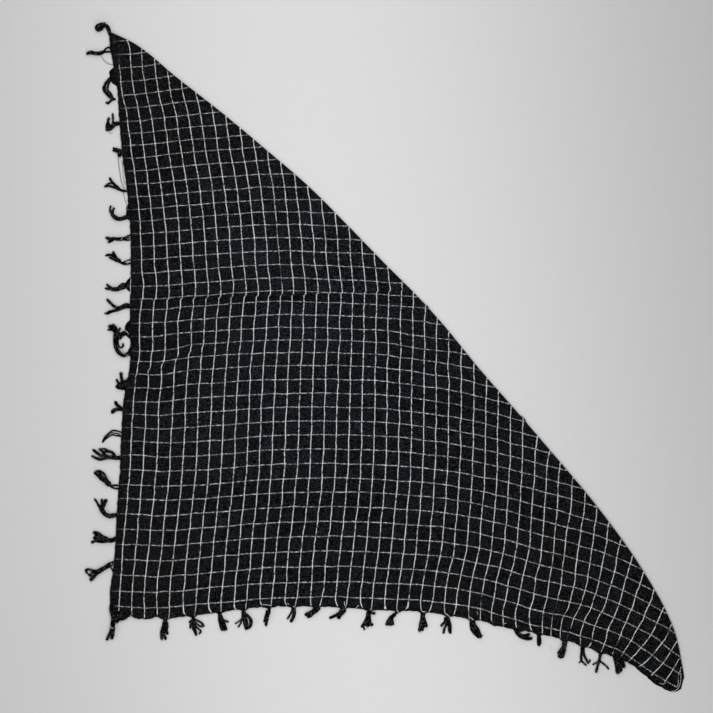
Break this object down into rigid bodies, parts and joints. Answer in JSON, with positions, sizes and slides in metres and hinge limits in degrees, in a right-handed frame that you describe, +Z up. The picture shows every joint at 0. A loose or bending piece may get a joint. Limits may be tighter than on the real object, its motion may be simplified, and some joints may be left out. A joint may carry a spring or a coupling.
{
  "type": "keffiyeh headscarf",
  "caption": "Square cotton keffiyeh with a window check and knotted tassels, folded once from corner to corner and laid flat as a triangle.",
  "frame": {"origin": "middle of the folded scarf's bounding box in plan, on the surface it lies on", "axes": "+Z up out of the cloth, +Y along the straight left edge towards the folded top corner, +X towards the folded right-hand tip"},
  "size_m": [1.079, 1.207, 0.0067],
  "materials": {
    "black_cotton": "loose plain weave, matt, with thin off-white window-check threads",
    "black_yarn": "twisted cotton yarn, matt, slightly fuzzy"
  },
  "bodies": {
    "root": {"scarf_cloth": "black_cotton", "tassel_hem_01": "black_yarn", "tassel_hem_02": "black_yarn", "tassel_hem_03": "black_yarn", "tassel_hem_04": "black_yarn", "tassel_hem_05": "black_yarn", "tassel_hem_06": "black_yarn", "tassel_hem_07": "black_yarn", "tassel_hem_08": "black_yarn", "tassel_hem_09": "black_yarn", "tassel_hem_10": "black_yarn", "tassel_hem_11": "black_yarn", "tassel_hem_12": "black_yarn", "tassel_hem_13": "black_yarn", "tassel_hem_14": "black_yarn", "tassel_hem_15": "black_yarn", "tassel_hem_16": "black_yarn", "tassel_hem_17": "black_yarn", "tassel_hem_18": "black_yarn", "tassel_hem_19": "black_yarn", "tassel_hem_20": "black_yarn", "tassel_side_01": "black_yarn", "tassel_side_02": "black_yarn", "tassel_side_03": "black_yarn", "tassel_side_04": "black_yarn", "tassel_side_05": "black_yarn", "tassel_side_06": "black_yarn", "tassel_side_07": "black_yarn", "tassel_side_08": "black_yarn", "tassel_side_09": "black_yarn", "tassel_side_10": "black_yarn", "tassel_side_11": "black_yarn", "tassel_side_12": "black_yarn", "tassel_side_13": "black_yarn", "tassel_side_14": "black_yarn", "tassel_side_15": "black_yarn", "tassel_side_16": "black_yarn", "tassel_side_17": "black_yarn", "tassel_side_18": "black_yarn", "tassel_side_19": "black_yarn", "tassel_side_20": "black_yarn", "tassel_side_21": "black_yarn"}
  },
  "joints": []
}
